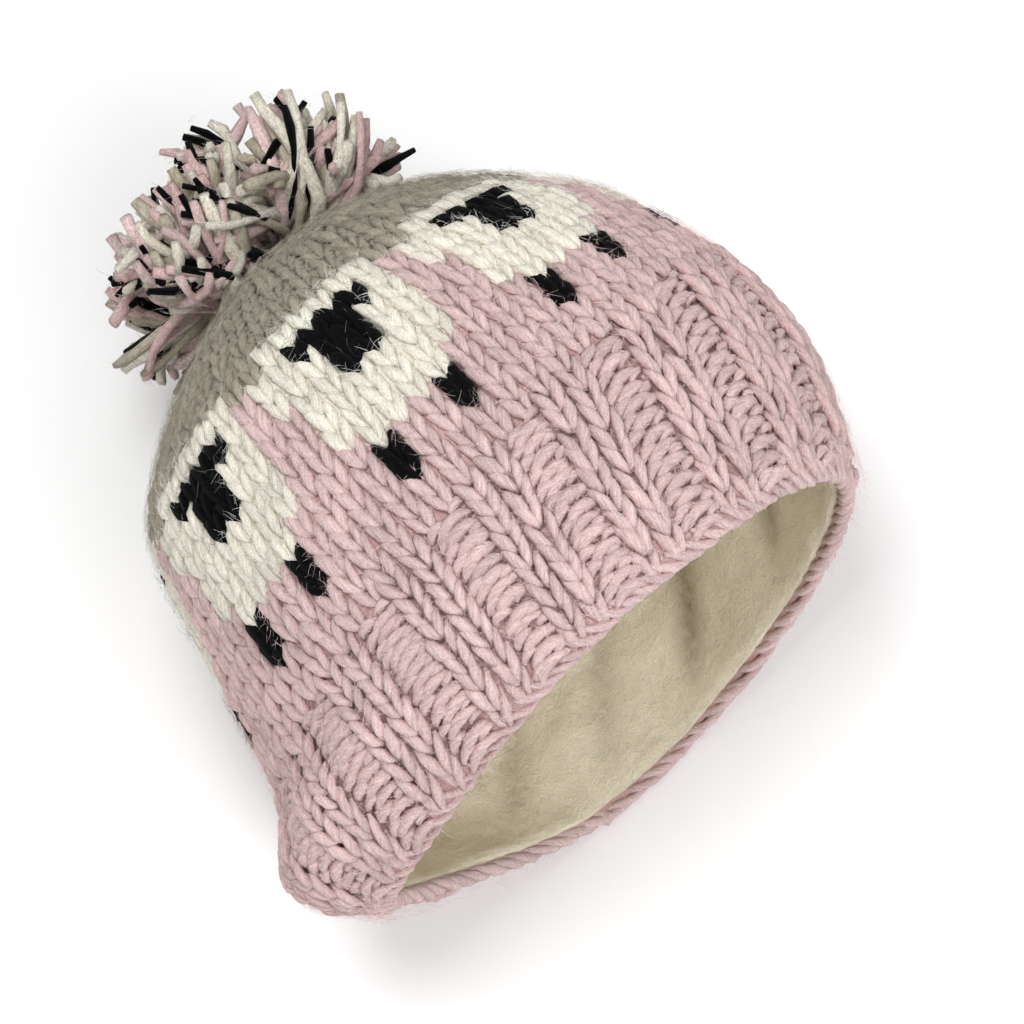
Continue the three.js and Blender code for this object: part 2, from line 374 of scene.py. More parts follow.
class KnitFace:
    """The outer face of the knitting over knitted rows and turns round the hat, in metres."""

    ROW_STEP = 0.1
    TURNS = 512

    def __init__(self):
        even = np.linspace(0, 1, self.TURNS + 1)
        angle = 2 * math.pi * even
        band = self._rings(np.array([BAND_ROW]), angle)[0]
        length = np.concatenate(([0], np.cumsum(np.linalg.norm(np.diff(band, axis=0), axis=1))))
        angle = np.interp(even * length[-1], length, angle)
        rows = np.arange(0, SECTIONS[-1, 0] + self.ROW_STEP / 2, self.ROW_STEP)
        self.points = self._rings(rows, angle)
        self.girth = np.linalg.norm(np.diff(self.points, axis=1), axis=-1).sum(axis=1)
        once = self.points[:, :-1]
        round_hat = np.roll(once, -1, axis=1) - np.roll(once, 1, axis=1)
        normals = unit(np.cross(round_hat, np.gradient(once, axis=0)))
        self.normals = np.concatenate((normals, normals[:, :1]), axis=1)

    @staticmethod
    def _rings(rows, angle):
        """The oval at each row, flat where it meets the floor, by the angle round it from its top."""
        s = section_curve(rows)
        x = s["half_width"] * np.sin(angle)
        out = x / s["half_width"]
        reach = np.where(np.cos(angle) > 0, s["rise"], s["drop"])
        closed = np.where(x < 0, s["pinch"] * out * out, 0)
        z = np.maximum(reach * np.cos(angle) * (1 - closed), -s["middle"])
        y = s["along"] + s["skew"] * x + s["saddle"] * out * out + s["lean"] * z
        return np.stack((s["across"] + x - ORIGIN[0], y - ORIGIN[1], s["middle"] + z), axis=-1) * MM

    def _sample(self, field, row, turn):
        r = row / self.ROW_STEP
        i = np.clip(np.floor(r).astype(int), 0, len(field) - 2)
        f = (r - i)[..., None]
        c = np.mod(gathered(row, turn), 1.0) * self.TURNS
        j = np.minimum(np.floor(c).astype(int), self.TURNS - 1)
        g = (c - j)[..., None]
        low = field[i, j] * (1 - g) + field[i, j + 1] * g
        high = field[i + 1, j] * (1 - g) + field[i + 1, j + 1] * g
        return low * (1 - f) + high * f

    def out(self, row, turn):
        return unit(self._sample(self.normals, row, turn))

    def at(self, row, turn, height):
        """Points at a height in metres over the face, kept above the floor."""
        points = self._sample(self.points, row, turn) + self.out(row, turn) * height[..., None]
        points[..., 2] = np.maximum(points[..., 2], FLOOR_CLEARANCE)
        return points

    def way_up(self, low, high, turn):
        """The way from a low row to a high one over the face."""
        level = np.zeros(len(turn))
        return unit(self.at(high, turn, level) - self.at(low, turn, level))

    def stitch_width(self, row, count):
        """The width of one stitch at a row, in metres."""
        i = np.clip(np.round(row / self.ROW_STEP).astype(int), 0, len(self.girth) - 1)
        return self.girth[i] / count


FACE = KnitFace()


def colour_of(row, column, colours):
    """The yarn colour of the stitches at whole rows and columns, counted from the first sheep."""
    table = {"P": colours.pink, "C": colours.cream, "K": colours.black, "G": colours.grey}
    chart = np.array([[tuple(table[mark]) for mark in line] for line in SHEEP])
    feet = np.clip(row - FEET_ROW, 0, len(SHEEP) - 1)
    yarn = chart[feet, np.mod(column, len(SHEEP[0]))]
    yarn = np.where((row < FEET_ROW)[:, None], np.array(colours.pink), yarn)
    return np.where((row >= FEET_ROW + len(SHEEP))[:, None], np.array(colours.grey), yarn)


def rib_share(row):
    """One in the ribbed band, fading to nothing in the plain knitting above it."""
    start, rows = RIB_FADE
    return 1 - smoothstep((row - start) / rows)


def wale(column, row):
    """Place and width of a wale in stitches, and how far its rib stands, from -1 to 1."""
    repeat = len(RIB_WALES)
    place, width, side = RIB_WALES[np.mod(column, repeat)].T
    share = rib_share(row)
    ribbed = np.floor_divide(column, repeat) * repeat + place
    return (column + 0.5) * (1 - share) + ribbed * share, 1 + (width - 1) * share, side * share


def link(name, data):
    """A new object in the scene with a mesh, a lamp or a camera."""
    obj = bpy.data.objects.new(name, data)
    bpy.context.scene.collection.objects.link(obj)
    return obj


def quad_mesh(name, vertices, quads, tints, fibres):
    """One mesh from arrays of corners and four-sided faces, with its colour and the lie of its fibres."""
    mesh = bpy.data.meshes.new(name)
    mesh.vertices.add(len(vertices))
    mesh.vertices.foreach_set("co", vertices.astype(np.float32).ravel())
    mesh.loops.add(quads.size)
    mesh.loops.foreach_set("vertex_index", quads.astype(np.int32).ravel())
    mesh.polygons.add(len(quads))
    mesh.polygons.foreach_set("loop_start", np.arange(0, quads.size, 4, dtype=np.int32))
    mesh.polygons.foreach_set("use_smooth", np.ones(len(quads), dtype=bool))
    mesh.update(calc_edges=True)
    paint(mesh, tints)
    fibre = mesh.attributes.new("fibre", "FLOAT_VECTOR", "POINT")
    fibre.data.foreach_set("vector", fibres.astype(np.float32).ravel())
    return link(name, mesh)


def paint(mesh, tints):
    """Stores a colour for each corner of a mesh."""
    rgba = np.concatenate((np.clip(tints, 0, 1), np.ones((len(tints), 1))), axis=1)
    colour = mesh.color_attributes.new("tint", "FLOAT_COLOR", "POINT")
    colour.data.foreach_set("color", rgba.astype(np.float32).ravel())


def strand_mesh(name, centres, ups, widths, depths, tints, rng, sides=6, ply=0.1, depth=0.7):
    """Joins strands of two-ply yarn, each a run of ovals along its centre line, into one mesh, with painted
    shade:
    a darker, deeper colour on the sides that face into the fabric, where shade falls between the strands."""
    count, stations = centres.shape[:2]
    along = unit(np.gradient(centres, axis=1))
    across = unit(np.cross(along, ups))
    out = np.cross(across, along)
    angle = np.linspace(0, 2 * math.pi, sides, endpoint=False)
    wide = widths[:, :, None, None] * np.cos(angle)[None, None, :, None]
    deep = depths[:, :, None, None] * np.sin(angle)[None, None, :, None]
    lumps = rng.normal(1, YARN_LUMPS, (count, stations, sides, 1))
    lay_turn = angle[None, :] - angle[1] * np.arange(stations)[:, None]
    lumps = lumps * (1 + ply * np.cos(2 * lay_turn))[None, :, :, None]
    rings = centres[:, :, None, :] + (across[:, :, None, :] * wide + out[:, :, None, :] * deep) * lumps
    rings[..., 2] = np.maximum(rings[..., 2], FLOOR_CLEARANCE)

    i, j = np.meshgrid(np.arange(stations - 1), np.arange(sides), indexing="ij")
    turn = (j + 1) % sides
    walls = np.stack((i * sides + j, (i + 1) * sides + j, (i + 1) * sides + turn, i * sides + turn), axis=-1)
    k = np.arange(sides // 2 - 1)
    cap = np.stack((k, k + 1, sides - 2 - k, sides - 1 - k), axis=-1)
    one = np.concatenate((walls.reshape(-1, 4), cap, cap[:, ::-1] + (stations - 1) * sides))
    quads = (one[None] + (np.arange(count) * stations * sides)[:, None, None]).reshape(-1, 4)

    steps = np.linalg.norm(np.diff(centres, axis=1), axis=-1)
    run = np.concatenate((np.zeros((count, 1)), np.cumsum(steps, axis=1)), axis=1)[:, :, None]
    lie = angle[None, None, :] + YARN_TWIST * run
    place = np.broadcast_to(run * FIBRE_RUN + rng.uniform(0, FIBRE_RANGE, (count, 1, 1)), lie.shape)
    fibres = np.stack((np.cos(lie), np.sin(lie), place), axis=-1)
    # Painted shade: each strand's colour is darkened and deepened on its sides and back, where shade falls
    # between the strands, by the depth
    painted_inward_shade = (1 + depth * (0.5 - 0.5 * np.sin(angle)))[None, None, :, None]
    shades = np.broadcast_to(tints[:, None, None, :] ** painted_inward_shade, (*rings.shape[:3], 3))
    return quad_mesh(name, rings.reshape(-1, 3), quads, shades.reshape(-1, 3), fibres.reshape(-1, 3))


def hair_mesh(name, roots, outs, heads, lengths, lifts, tints, rng, width, curl=0.35, stations=3):
    """Joins fine loose fibres, each a narrow curved ribbon, into one mesh."""
    count = len(roots)
    s = np.linspace(0, 1, stations)[None, :, None]
    across = unit(np.cross(outs, heads))
    bend = rng.normal(0, curl, (count, 1, 1)) * lengths[:, None, None]
    line = roots[:, None, :] + heads[:, None, :] * lengths[:, None, None] * s
    line = line + outs[:, None, :] * lifts[:, None, None] * s * (2 - s)
    line = line + across[:, None, :] * bend * s * s
    roll = rng.uniform(0, math.pi, (count, 1, 1))
    side = across[:, None, :] * np.cos(roll) + outs[:, None, :] * np.sin(roll)
    half = width * (1 - HAIR_TAPER * s)
    ribbon = np.stack((line - side * half, line + side * half), axis=2)
    ribbon[..., 2] = np.maximum(ribbon[..., 2], FLOOR_CLEARANCE)
    i = np.arange(stations - 1) * 2
    one = np.stack((i, i + 1, i + 3, i + 2), axis=-1)
    quads = (one[None] + (np.arange(count) * stations * 2)[:, None, None]).reshape(-1, 4)
    shades = np.repeat(tints, stations * 2, axis=0)
    place = np.repeat(rng.uniform(0, FIBRE_RANGE, (count, 3)), stations * 2, axis=0)
    return quad_mesh(name, ribbon.reshape(-1, 3), quads, shades, place)


def finish(piece, material, node=None):
    """Gives a piece its material and its place in the frame."""
    piece.data.materials.clear()
    piece.data.materials.append(material)
    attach(piece, BODY)
    if node:
        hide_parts(node)


def wool(name, streak=0.4):
    """Wool yarn: streaked and raised along its fibres, with a fine grain."""
    return fibrous(
        name, grain=(2200, 2, 0.6), grain_share=0.45, clumps=(3, 5, 0.7), along_fibres=True,
        heights=(0.52, 0.9), shades=(1 - streak, 1 + streak * 0.35), relief=0.6 * MM,
    )


def fleece(name):
    """Brushed fleece: a fine pile over soft clumps."""
    return fibrous(
        name, grain=(2400, 2, 0.6), grain_share=0.3, clumps=(120, 5, 0.65), along_fibres=False,
        heights=(0.4, 0.9), shades=(0.96, 1.06), relief=3 * MM,
    )


def fibrous(name, grain, grain_share, clumps, along_fibres, heights, shades, relief):
    """A matt mass of fibres in the piece's own colour, shaded and raised by a grain over streaks or clumps.
    Each noise is a scale, a detail and a roughness. The two heights take the two shades."""
    material = bpy.data.materials.new(name)
    material.use_nodes = True
    tree = material.node_tree
    shader = tree.nodes["Principled BSDF"]
    tint = tree.nodes.new("ShaderNodeAttribute")
    tint.attribute_name = "tint"
    place = tree.nodes.new("ShaderNodeTexCoord").outputs["Object"]
    lie = place
    if along_fibres:
        fibre = tree.nodes.new("ShaderNodeAttribute")
        fibre.attribute_name = "fibre"
        lie = fibre.outputs["Vector"]
    height = tree.nodes.new("ShaderNodeMath")
    height.operation = "MULTIPLY_ADD"
    height.inputs[1].default_value = grain_share
    shade = tree.nodes.new("ShaderNodeMapRange")
    for socket, limit in zip(("From Min", "From Max", "To Min", "To Max"), (*heights, *shades)):
        shade.inputs[socket].default_value = limit
    shaded = tree.nodes.new("ShaderNodeVectorMath")
    shaded.operation = "SCALE"
    bump = tree.nodes.new("ShaderNodeBump")
    bump.inputs["Strength"].default_value = 1.0
    bump.inputs["Distance"].default_value = relief
    tree.links.new(noise_at(tree, place, *grain), height.inputs[0])
    tree.links.new(noise_at(tree, lie, *clumps), height.inputs[2])
    tree.links.new(height.outputs["Value"], shade.inputs["Value"])
    tree.links.new(tint.outputs["Color"], shaded.inputs[0])
    tree.links.new(shade.outputs["Result"], shaded.inputs["Scale"])
    tree.links.new(height.outputs["Value"], bump.inputs["Height"])
    tree.links.new(shaded.outputs["Vector"], shader.inputs["Base Color"])
    tree.links.new(bump.outputs["Normal"], shader.inputs["Normal"])
    for socket, amount in MATT.items():
        shader.inputs[socket].default_value = amount
    return material


def noise_at(tree, place, scale, detail, roughness):
    """The height of a noise at a place."""
    node = tree.nodes.new("ShaderNodeTexNoise")
    node.inputs["Scale"].default_value = scale
    node.inputs["Detail"].default_value = detail
    node.inputs["Roughness"].default_value = roughness
    tree.links.new(place, node.inputs["Vector"])
    return node.outputs["Fac"]


def varied(tints, rng, spread):
    """The same yarn, a little lighter or darker from stitch to stitch."""
    return tints * (1 + rng.normal(0, spread, (len(tints), 1)))


class HatKnit(bpy.types.PropertyGroup):
    """Sizes of the yarn and its stitches."""

    leg_width: FloatProperty(
        name="Leg Width", description="The most of a stitch's width that half a leg may take",
        default=0.275, subtype="FACTOR",
    )
    leg_bulge: FloatProperty(
        name="Leg Bulge", description="How far the middle of a leg stands over its ends",
        default=1.7 * MM, unit="LENGTH",
    )
    leg_depth: FloatProperty(
        name="Leg Depth", description="How far the ends of a leg lie under the face",
        default=2.7 * MM, unit="LENGTH",
    )
    rib_relief: FloatProperty(
        name="Rib Relief", description="How far a rib stands over the face",
        default=1.4 * MM, unit="LENGTH",
    )
    wall: FloatProperty(
        name="Wall", description="Thickness of the knitting under its stitches",
        default=3.6 * MM, unit="LENGTH",
    )
    fibres: IntProperty(name="Fibres", description="Loose fibres over the knitting", default=48000)
    crown_fibres: IntProperty(name="Crown Fibres", description="Felted fibres over the crown", default=20000)


class HatColours(bpy.types.PropertyGroup):
    """Colours of the yarns and the fleece."""

    pink: FloatVectorProperty(
        name="Pink Wool", description="The band and the ground", subtype="COLOR", default=(0.76, 0.58, 0.568)
    )
    cream: FloatVectorProperty(
        name="Cream Wool", description="The sheep's fleece", subtype="COLOR", default=(0.92, 0.872, 0.765)
    )
    black: FloatVectorProperty(
        name="Black Wool", description="The sheep's faces and feet",
        subtype="COLOR", default=(0.0035, 0.0035, 0.004),
    )
    grey: FloatVectorProperty(
        name="Grey Wool", description="The crown", subtype="COLOR", default=(0.44, 0.4, 0.325)
    )
    fleece: FloatVectorProperty(
        name="Fleece", description="The lining", subtype="COLOR", default=(0.95, 0.856, 0.665)
    )


class HatPompom(bpy.types.PropertyGroup):
    """The pompom's size and yarn."""

    reach: FloatProperty(
        name="Reach", description="Length of a strand from the middle", default=41 * MM, unit="LENGTH"
    )
    spread: FloatProperty(
        name="Spread", description="How much wider than deep the pompom is", default=1.24, subtype="FACTOR"
    )
    yarn: FloatProperty(
        name="Yarn", description="Half the thickness of a strand", default=1.75 * MM, unit="LENGTH"
    )
    tufts: IntProperty(name="Tufts", description="Clumps of strands in the pompom", default=72)
    strands: IntProperty(name="Strands", description="Cut ends in a clump", default=12)


def knit_legs(row, place, width, lift, count, tints, rng, knit):
    """The two legs of each plain stitch, as centre lines over the face with their widths and colours."""
    t = np.linspace(0, 1, STITCH_STATIONS)[None, :]
    swell = np.sin(math.pi * (0.05 + 0.9 * t)) ** 0.8
    front = np.sin(math.pi * (0.06 + 0.9 * t**0.9)) ** 0.8
    n = len(row)
    parts = []
    for side, foot, head, rows, half in LEGS:
        sway = rng.normal(0, UNEVEN_PLACE, (n, 1))
        sway = sway + rng.normal(0, UNEVEN_BEND, (n, 1)) * np.sin(math.pi * t)
        slide = rng.normal(0, UNEVEN_SLIDE, (n, 1))
        fat = rng.normal(1, UNEVEN_GIRTH, (n, 1))
        u = place[:, None] + (side * (foot + (head - foot) * t**0.85) + sway) * width[:, None]
        v = row[:, None] - LEG_START + rows * t + slide
        stand = rng.normal(0, UNEVEN_HEIGHT, (n, 1)) * MM
        height = lift[:, None] - knit.leg_depth + knit.leg_bulge * front - LEG_SINK * MM * t * t + stand
        turn = (FIRST_STITCH * count / STITCHES + u) / count
        stitch = FACE.stitch_width(v, count) * width[:, None]
        wide = np.minimum(half * MM, knit.leg_width * stitch) * fat * (0.2 + 0.8 * swell)
        parts.append((FACE.at(v, turn, height), FACE.out(v, turn), wide, wide * LEG_FLATNESS, tints))
    return parts


def joined(parts):
    return [np.concatenate(field) for field in zip(*parts)]


def grid_of(rows, count):
    row, column = np.meshgrid(np.array(list(rows)), np.arange(count), indexing="ij")
    return row.ravel(), column.ravel()


def is_yarn(tints, colour):
    """Which of the tints are the colour of one yarn."""
    return np.all(np.isclose(tints, np.array(colour)), axis=1)


def wall_yarn(turn, share, colours):
    """The colour of the stitches over the wall, by turn and share of the way up."""
    row = np.floor(share * SECTIONS[-1, 0] - FIRST_ROW).astype(int)
    column = np.floor(turn * STITCHES - FIRST_STITCH).astype(int)
    return colour_of(row, column, colours)


class MESH_OT_hat_ground(bpy.types.Operator):
    """Lays the wall of knitting that the stitches stand on"""

    bl_idname = "mesh.hat_ground"
    bl_label = "Knitted Wall"

    def execute(self, context):
        knit = context.scene.hat_knit
        colours = context.scene.hat_colours

        def place(turn, share):
            row = GROUND_FIRST_ROW + share * (SECTIONS[-1, 0] - GROUND_FIRST_ROW)
            channels = -CHANNEL_DEPTH * knit.rib_relief * rib_share(row)
            crown, crown_rows = CROWN_FELT_ROWS
            felted = FELT * MM + CROWN_FELT * MM * smoothstep((row - crown) / crown_rows)
            brushed = CREAM_FELT * MM * is_yarn(wall_yarn(turn, share, colours), colours.cream)
            return FACE.at(row, turn, -knit.leg_depth + channels + felted + brushed)

        obj, turn, share = rolled_skin("knit_ground", GROUND_STEPS, place)
        tints = wall_yarn(turn, share, colours)
        pink = is_yarn(tints, colours.pink)[:, None]
        strength, power = PINK_PAINTED_SHADE
        # Painted shade: the wall that shows between the stitches is painted darker than they are, its pink
        # deeper and redder
        paint(obj.data, np.where(pink, strength * tints**power, tints * GROUND_PAINTED_SHADE))
        weld(obj)
        thicken(obj, knit.wall)
        finish(obj, wool("wool_ground"), "knit_cover")
        return {"FINISHED"}


def corners_of(mesh):
    """The places of a mesh's corners."""
    flat = np.empty(len(mesh.vertices) * 3)
    mesh.vertices.foreach_get("co", flat)
    return flat.reshape(-1, 3)


def move_corners(mesh, points):
    """Moves every corner of a mesh to a new place."""
    mesh.vertices.foreach_set("co", points.astype(np.float32).ravel())
    mesh.update()


def rolled_skin(name, steps, place):
    """A grid rolled round the hat by place(turn, share of the way up) and closed to a point at the crown, and
    the turn and share of each corner."""
    bpy.ops.object.select_all(action="DESELECT")
    bpy.ops.mesh.primitive_grid_add(x_subdivisions=steps[0], y_subdivisions=steps[1], size=1)
    obj = bpy.context.object
    obj.name = name
    obj.data.name = name
    turn, share = np.clip(corners_of(obj.data)[:, :2].T + 0.5, 0, 1)
    points = place(turn, share)
    top = share > 1 - 1e-6
    points[top] = points[top].mean(axis=0)
    move_corners(obj.data, points)
    return obj, turn, share


def weld(obj):
    """Closes the seam and the crown of a rolled skin and turns its faces outwards."""
    bpy.context.view_layer.objects.active = obj
    bpy.ops.object.mode_set(mode="EDIT")
    bpy.ops.mesh.select_all(action="SELECT")
    bpy.ops.mesh.remove_doubles(threshold=WELD_GAP)
    bpy.ops.mesh.normals_make_consistent(inside=False)
    bpy.ops.object.mode_set(mode="OBJECT")
    bpy.ops.object.shade_smooth()


def thicken(obj, thickness, offset=-1.0):
    """Gives a skin its thickness, inwards unless the offset says otherwise."""
    bpy.context.view_layer.objects.active = obj
    solid = obj.modifiers.new("thickness", "SOLIDIFY")
    solid.thickness = thickness
    solid.offset = offset
    bpy.ops.object.modifier_apply(modifier=solid.name)


class MESH_OT_hat_rib(bpy.types.Operator):
    """Knits the ribbed band: knitted wales standing proud, purled bars in the channels between them"""

    bl_idname = "mesh.hat_rib"
    bl_label = "Ribbed Band"

    def execute(self, context):
        knit = context.scene.hat_knit
        colours = context.scene.hat_colours
        rng = np.random.default_rng(RIB_SEED)
        row, column = grid_of(RIB_ROWS, STITCHES)
        base = row + FIRST_ROW
        place, width, side = wale(column, base + 0.5)
        tints = varied(colour_of(row, column, colours), rng, UNEVEN_TINT)
        repeat = len(RIB_WALES)
        plain = RIB_WALES[np.mod(column, repeat), 2] > 0
        drawn_row, drawn_share = DRAWN_IN
        lift = knit.rib_relief * (side - drawn_share * np.maximum(drawn_row - base, 0))
        parts = knit_legs(
            base[plain], place[plain], width[plain], lift[plain], STITCHES, tints[plain], rng, knit
        )
        rung, channel = grid_of(range(PURL_ROWS), STITCHES // repeat)
        pinks = varied(np.tile(colours.pink, (len(rung), 1)), rng, UNEVEN_TINT)
        level = RIB_ROWS[0] + FIRST_RUNG + rung * PURL_SPAN / PURL_ROWS
        channel_lift = -CHANNEL_DEPTH * knit.rib_relief
        parts += purl_rungs(level, repeat * (channel + 0.5), channel_lift, pinks, rng)
        # The rib's strands take the strongest painted shade on their inner sides
        piece = strand_mesh("knit_rib", *joined(parts), rng, depth=1.0)
        finish(piece, wool("wool_rib"))
        return {"FINISHED"}


def purl_rungs(row, middle, lift, tints, rng):
    """The rungs across each purled channel: a long one for each row, and short ones where the loops turn."""
    t = np.linspace(0, 1, STITCH_STATIONS)[None, :]
    arch = np.sin(math.pi * t)
    n = len(row)
    parts = []
    for shift, length, level, rise, half in RUNGS:
        slide = rng.normal(0, UNEVEN_SLIDE, (n, 1))
        slip = rng.normal(0, RUNG_SLIP, (n, 1))
        tilt = rng.normal(RUNG_TILT, RUNG_TILT, (n, 1))
        u = middle[:, None] + shift + slip + (t - 0.5) * length
        v = row[:, None] + level + rise * (arch - 0.5) + tilt * (t - 0.5) + slide
        height = lift - RUNG_DEPTH * MM + RUNG_BULGE * MM * arch**0.5
        turn = (FIRST_STITCH + u) / STITCHES
        wide = half * MM * rng.normal(1, UNEVEN_GIRTH, (n, 1)) * (0.35 + 0.65 * arch**0.6)
        parts.append((FACE.at(v, turn, height), FACE.out(v, turn), wide, wide * RUNG_FLATNESS, tints))
    return parts


class MESH_OT_hat_body(bpy.types.Operator):
    """Knits the plain part above the rib with its ring of sheep"""

    bl_idname = "mesh.hat_body"
    bl_label = "Body With Sheep"

    def execute(self, context):
        knit = context.scene.hat_knit
        rng = np.random.default_rng(BODY_SEED)
        row, column = grid_of(BODY_ROWS, STITCHES)
        base = row + FIRST_ROW
        place, width, side = wale(column, base + 0.5)
        tints = varied(colour_of(row, column, context.scene.hat_colours), rng, UNEVEN_TINT)
        parts = knit_legs(base, place, width, knit.rib_relief * side, STITCHES, tints, rng, knit)
        piece = strand_mesh("knit_body", *joined(parts), rng)
        finish(piece, wool("wool_body"))
        return {"FINISHED"}


class MESH_OT_hat_crown(bpy.types.Operator):
    """Knits the felted crown, with fewer stitches after each round of decreases"""

    bl_idname = "mesh.hat_crown"
    bl_label = "Crown"

    def execute(self, context):
        scene = context.scene
        rng = np.random.default_rng(CROWN_SEED)
        parts = []
        for first, last, count in CROWN_ROUNDS:
            row, column = grid_of(range(first, last), count)
            tints = varied(np.tile(scene.hat_colours.grey, (len(row), 1)), rng, CROWN_UNEVEN_TINT)
            ones = np.ones(len(row))
            lift = ones * CROWN_LIFT * MM
            parts += knit_legs(row + FIRST_ROW, column + 0.5, ones, lift, count, tints, rng, scene.hat_knit)
        # The crown's strands take only a little painted shade on their inner sides
        piece = strand_mesh("knit_crown", *joined(parts), rng, sides=4, depth=0.3)
        finish(piece, wool("wool_crown"))
        return {"FINISHED"}


class MESH_OT_hat_edge(bpy.types.Operator):
    """Casts on the edge: slanted strands that wrap over the rim like a cord"""

    bl_idname = "mesh.hat_edge"
    bl_label = "Cast-On Edge"

    def execute(self, context):
        rng = np.random.default_rng(EDGE_SEED)
        t = np.linspace(0, 1, EDGE_STATIONS)[None, :]
        n = EDGE_STRANDS
        tints = varied(np.tile(context.scene.hat_colours.pink, (n, 1)), rng, UNEVEN_TINT)
        wrap = math.pi * (0.02 + 0.96 * t)
        u = np.arange(n)[:, None] * STITCHES / n + EDGE_SLANT * t + rng.normal(0, 0.05, (n, 1))
        v = EDGE_LEVEL - EDGE_REACH * np.sin(wrap) + EDGE_RUN_UP * (1 - t) ** 3
        v = v + rng.normal(0, 0.03, (n, 1))
        swell = np.sin(math.pi * (0.08 + 0.84 * t)) ** 0.6
        round_rim = np.cos(wrap) * np.where(t < 0.5, 0.85, swell)
        height = (-EDGE_DEPTH + EDGE_RADIUS * round_rim) * MM * np.ones((n, 1))
        turn = (FIRST_STITCH + u) / STITCHES
        wide = EDGE_YARN * MM * swell * rng.normal(1, 0.08, (n, 1))
        deep = wide * EDGE_FLATNESS
        lines = FACE.at(v, turn, height)
        piece = strand_mesh("cast_on_edge", lines, edge_ups(turn, wrap), wide, deep, tints, rng)
        finish(piece, wool("wool_edge"))
        return {"FINISHED"}


def edge_ups(turn, wrap):
    """The way a strand of the edge faces as it wraps over the rim."""
    zero = np.zeros_like(turn)
    out = FACE.out(zero, turn)
    rim = unit(FACE.at(zero, turn, zero) - FACE.at(zero + 0.5, turn, zero))
    return unit(out * np.cos(wrap)[..., None] + rim * np.sin(wrap)[..., None])


def crease_depth(row, turn):
    """How far the creases fall behind the face of the lining, in millimetres."""
    depth = np.zeros_like(row)
    for start, drift, spread, most in LINING_CREASES:
        off = np.abs(np.mod(turn - start - drift * row + 0.5, 1.0) - 0.5)
        depth = np.maximum(depth, most * np.exp(-off / spread))
    rise, rise_rows = CREASES_RISE
    fade, fade_rows = CREASES_FADE
    return depth * smoothstep((row - rise) / rise_rows) * (1 - smoothstep((row - fade) / fade_rows))


def lining_inset(row, turn):
    """How far the lining lies under the face of the knitting, in metres."""
    angle = 2 * math.pi * turn
    lumps = np.zeros_like(row)
    for most, around, along, start in LINING_LUMPS:
        places = zip(around * np.cos(angle), around * np.sin(angle), along * row + start)
        lumps = lumps + most * np.array([noise.noise(Vector(place)) for place in places])
    hem = HEM_FLARE * (1 - smoothstep((row - LINING_FIRST_ROW) / HEM_ROWS))
    inset = LINING_INSET - hem - crease_depth(row, turn) + lumps
    return np.maximum(inset, LINING_LEAST_INSET) * MM


def lining_at(row, turn, height):
    """Points at a height in metres over the knitting's face, evened out round the hat for the lining."""
    guide = np.full_like(row, -LINING_GUIDE * MM)
    weights = np.exp(-((GUIDE_BLUR / GUIDE_SPREAD) ** 2))
    weights = weights / weights.sum()
    rings = [weight * FACE.at(row, turn + blur, guide) for blur, weight in zip(GUIDE_BLUR, weights)]
    return np.sum(rings, axis=0) + FACE.out(row, turn) * (height - guide)[:, None]


def lining_row(share):
    """The row at a share of the way from the lining's hem to its crown."""
    return LINING_FIRST_ROW + share * (LINING_LAST_ROW - LINING_FIRST_ROW)


class MESH_OT_hat_lining(bpy.types.Operator):
    """Sews in the fleece lining, with its soft folds and its nap"""

    bl_idname = "mesh.hat_lining"
    bl_label = "Fleece Lining"

    def execute(self, context):
        colour = np.array(context.scene.hat_colours.fleece)
        self.sew_cloth(colour)
        self.brush_nap(colour, np.random.default_rng(LINING_SEED))
        return {"FINISHED"}

    def sew_cloth(self, colour):
        def place(turn, share):
            row = lining_row(share)
            return lining_at(row, turn, -lining_inset(row, turn))

        obj, turn, share = rolled_skin("fleece_lining_cloth", LINING_STEPS, place)
        # Painted shade: the lining is painted darker in its deeper creases
        shaded = np.maximum(crease_depth(lining_row(share), turn) - CREASE_PAINTED_SHADE_FROM, 0)
        paint(obj.data, colour * (1 - CREASE_PAINTED_SHADE * shaded[:, None] * CREASE_SHADE_WARMTH))
        weld(obj)
        thicken(obj, LINING_WALL * MM, offset=1.0)
        finish(obj, fleece("fleece"), "fleece_lining")

    def brush_nap(self, colour, rng):
        count = NAP_HAIRS
        row = LINING_FIRST_ROW + rng.beta(1.0, 3.4, count) * NAP_ROWS
        turn = rng.uniform(0, 1, count)
        roots = lining_at(row, turn, -lining_inset(row, turn) + 0.2 * MM)
        outs = -FACE.out(row, turn)
        tints = varied(np.tile(colour, (count, 1)), rng, 0.06)
        # Painted shade: the nap's hairs are painted darker in the creases
        tints = np.minimum(tints * (1 - NAP_PAINTED_SHADE * crease_depth(row, turn)[:, None]), 0.96)
        combed = unit(lay(outs, rng) - FACE.way_up(row - 0.2, row + 0.3, turn))
        nap = hair_mesh(
            "fleece_nap", roots, outs, combed, rng.uniform(2.5, 5.5, count) * MM,
            rng.uniform(0.3, 1.6, count) * MM, tints, rng, NAP_WIDTH * MM, curl=0.15,
        )
        finish(nap, wool("fleece_nap_fibre", streak=0.1))


def lay(outs, rng):
    """A random direction along the surface at each root."""
    random = rng.normal(0, 1, outs.shape)
    return unit(random - outs * np.sum(random * outs, axis=1, keepdims=True))


